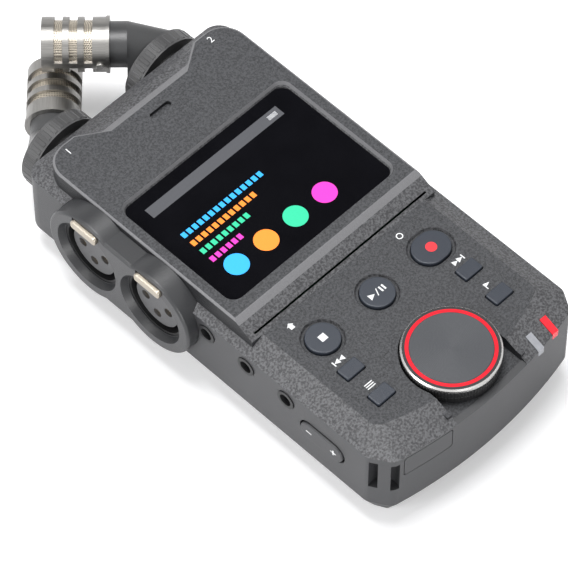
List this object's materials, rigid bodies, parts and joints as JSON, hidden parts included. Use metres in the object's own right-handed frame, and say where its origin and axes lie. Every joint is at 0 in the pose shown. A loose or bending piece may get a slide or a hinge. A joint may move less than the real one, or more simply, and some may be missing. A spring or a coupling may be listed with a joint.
{
  "type": "portable field recorder",
  "caption": "Hand-held audio recorder with crossed swivel microphones, touch screen, transport buttons, jog dial, side microphone inlets and battery bay.",
  "frame": {"origin": "mouth of the tripod socket in the flat back", "axes": "+X to the recorder's right, +Y towards the microphones, +Z out of the face"},
  "size_m": [0.0751, 0.165, 0.0352],
  "materials": {
    "case_plastic": "fine grained moulded plastic",
    "deck_plastic": "grained moulded plastic",
    "glass": "glossy black window",
    "lcd": "display panel",
    "circuit_board": "solder mask",
    "black_plastic": "satin",
    "key_plastic": "satin blue-grey",
    "contact_metal": "gold plated",
    "bright_metal": "plated",
    "tab_metal": "sand-blasted champagne",
    "capsule_metal": "brushed gunmetal",
    "mesh_metal": "woven mesh",
    "insert_plastic": "grey moulded",
    "red_ring": "translucent red",
    "red_light": "translucent red",
    "clear_light": "translucent white",
    "dial_top": "spun matte",
    "cell_sleeve": "shrink sleeve",
    "foam": "dark damped element"
  },
  "bodies": {
    "case": {"bottom_case": "case_plastic", "top_case": "deck_plastic", "screen_glass": "glass", "display_module": "lcd", "main_board": "circuit_board", "key_board": "circuit_board", "tact_switches": "black_plastic", "encoder_body": "bright_metal", "inlet_frame": "case_plastic", "inlet_shells": "bright_metal", "inlet_inserts": "insert_plastic", "inlet_contacts": "contact_metal", "audio_jacks": "black_plastic", "power_switch": "black_plastic", "data_port": "bright_metal", "card_socket": "bright_metal", "memory_card": "black_plastic", "peak_light_pipe": "clear_light", "record_light_pipe": "red_light", "indicator_leds": "clear_light", "adapter_connector": "black_plastic", "battery_cells": "cell_sleeve", "battery_contacts": "bright_metal", "battery_springs": "bright_metal", "tripod_insert": "contact_metal", "speaker": "black_plastic", "case_screws": "bright_metal", "mic_bushes": "black_plastic"},
    "dial": {"dial_body": "black_plastic", "dial_rim": "bright_metal", "dial_light_ring": "red_ring", "dial_cap": "dial_top", "encoder_shaft": "bright_metal"},
    "volume_rocker": {"volume_rocker": "case_plastic"},
    "power_slider": {"power_slider": "key_plastic"},
    "battery_cover": {"battery_cover": "case_plastic"},
    "adapter_cap": {"adapter_cap": "case_plastic"},
    "release_tab_1": {"release_tab_1": "tab_metal"},
    "release_tab_2": {"release_tab_2": "tab_metal"},
    "left_mic": {"left_mic_collar": "black_plastic", "left_mic_arm": "black_plastic", "left_mic_barrel": "capsule_metal", "left_mic_mesh": "mesh_metal", "left_mic_capsule": "foam", "left_mic_screw": "bright_metal"},
    "right_mic": {"right_mic_collar": "black_plastic", "right_mic_arm": "black_plastic", "right_mic_barrel": "capsule_metal", "right_mic_mesh": "mesh_metal", "right_mic_capsule": "foam", "right_mic_screw": "bright_metal"},
    "stop_button": {"stop_button": "key_plastic"},
    "play_button": {"play_button": "key_plastic"},
    "record_button": {"record_button": "key_plastic"},
    "back_button": {"back_button": "key_plastic"},
    "forward_button": {"forward_button": "key_plastic"},
    "menu_button": {"menu_button": "key_plastic"},
    "mark_button": {"mark_button": "key_plastic"}
  },
  "joints": [
    {"name": "left_mic_swivel", "type": "hinge", "parent": "case", "child": "left_mic", "pos_m": [-0.0185, 0.054, 0.0176], "axis": [0, 1, 0], "range_deg": [0, 180]},
    {"name": "right_mic_swivel", "type": "hinge", "parent": "case", "child": "right_mic", "pos_m": [0.0185, 0.054, 0.0176], "axis": [0, 1, 0], "range_deg": [0, 180]},
    {"name": "dial_turn", "type": "hinge", "parent": "case", "child": "dial", "pos_m": [0, -0.0667, 0.031], "axis": [0, 0, 1], "continuous": true},
    {"name": "stop_button_press", "type": "slide", "parent": "case", "child": "stop_button", "axis": [0, 0, -1], "range_m": [0, 0.0005], "stiffness_N_per_m": 400, "springref_m": -0.0002},
    {"name": "play_button_press", "type": "slide", "parent": "case", "child": "play_button", "axis": [0, 0, -1], "range_m": [0, 0.0005], "stiffness_N_per_m": 400, "springref_m": -0.0002},
    {"name": "record_button_press", "type": "slide", "parent": "case", "child": "record_button", "axis": [0, 0, -1], "range_m": [0, 0.0005], "stiffness_N_per_m": 400, "springref_m": -0.0002},
    {"name": "back_button_press", "type": "slide", "parent": "case", "child": "back_button", "axis": [0, 0, -1], "range_m": [0, 0.0005], "stiffness_N_per_m": 400, "springref_m": -0.0002},
    {"name": "forward_button_press", "type": "slide", "parent": "case", "child": "forward_button", "axis": [0, 0, -1], "range_m": [0, 0.0005], "stiffness_N_per_m": 400, "springref_m": -0.0002},
    {"name": "menu_button_press", "type": "slide", "parent": "case", "child": "menu_button", "axis": [0, 0, -1], "range_m": [0, 0.0005], "stiffness_N_per_m": 400, "springref_m": -0.0002},
    {"name": "mark_button_press", "type": "slide", "parent": "case", "child": "mark_button", "axis": [0, 0, -1], "range_m": [0, 0.0005], "stiffness_N_per_m": 400, "springref_m": -0.0002},
    {"name": "volume_rock", "type": "hinge", "parent": "case", "child": "volume_rocker", "pos_m": [-0.03355, -0.0568, 0.019], "axis": [0, 0, 1], "range_deg": [-3, 3], "stiffness_Nm_per_rad": 0.05},
    {"name": "release_tab_1_press", "type": "slide", "parent": "case", "child": "release_tab_1", "axis": [1, 0, 0], "range_m": [0, 0.0005], "stiffness_N_per_m": 600, "springref_m": -0.0002},
    {"name": "release_tab_2_press", "type": "slide", "parent": "case", "child": "release_tab_2", "axis": [1, 0, 0], "range_m": [0, 0.0005], "stiffness_N_per_m": 600, "springref_m": -0.0002},
    {"name": "power_slide", "type": "slide", "parent": "case", "child": "power_slider", "axis": [0, -1, 0], "range_m": [0, 0.0035]},
    {"name": "battery_cover_lift", "type": "slide", "parent": "case", "child": "battery_cover", "axis": [0, 0, -1], "range_m": [0, 0.03]},
    {"name": "adapter_cap_pull", "type": "slide", "parent": "case", "child": "adapter_cap", "axis": [0, -1, 0], "range_m": [0, 0.02]}
  ]
}
